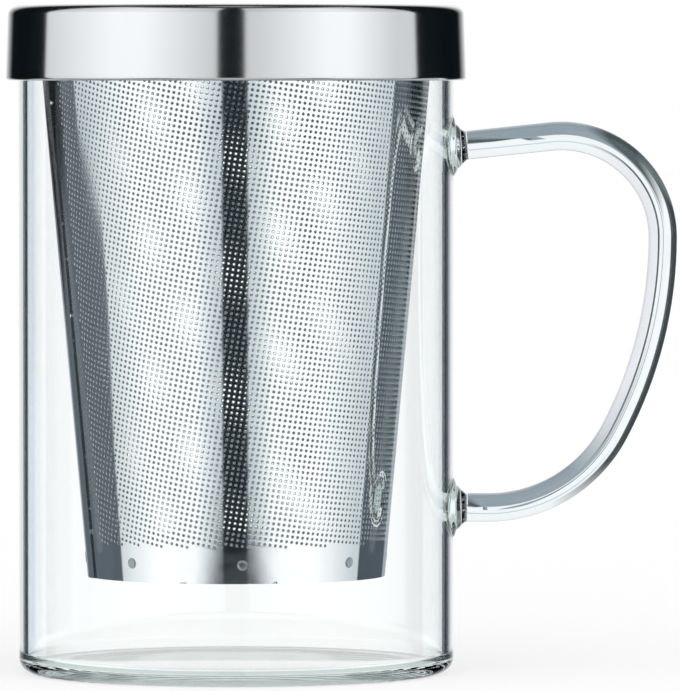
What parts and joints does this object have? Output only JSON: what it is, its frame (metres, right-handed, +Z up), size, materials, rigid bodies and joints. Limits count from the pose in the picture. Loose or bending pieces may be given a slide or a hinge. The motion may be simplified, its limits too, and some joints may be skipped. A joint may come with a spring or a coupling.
{
  "type": "glass tea mug",
  "caption": "Straight glass mug with a rod handle, a lift-out perforated cone infuser and a lift-off steel cap lid.",
  "frame": {"origin": "on the mug's axis, in the plane of the flat ring that it stands on", "axes": "+Z up along the mug's axis, +X towards the handle"},
  "size_m": [0.1312, 0.09, 0.1304],
  "materials": {
    "glass": "clear, fire-polished borosilicate",
    "infuser_steel": "bright rolled stainless sheet",
    "weld_steel": "dull spot welds",
    "lid_steel": "satin, brushed around the rim"
  },
  "bodies": {
    "mug": {"glass_body": "glass", "glass_handle": "glass"},
    "infuser": {"infuser_wall": "infuser_steel", "infuser_base": "infuser_steel", "infuser_collar": "infuser_steel", "infuser_spot_welds": "weld_steel"},
    "lid": {"lid_shell": "lid_steel", "lid_locating_ring": "infuser_steel", "lid_spot_welds": "weld_steel"}
  },
  "joints": [
    {"name": "infuser_lift", "type": "slide", "parent": "mug", "child": "infuser", "axis": [0, 0, 1], "range_m": [0, 0.125]},
    {"name": "lid_lift", "type": "slide", "parent": "infuser", "child": "lid", "axis": [0, 0, 1], "range_m": [0, 0.05]}
  ]
}
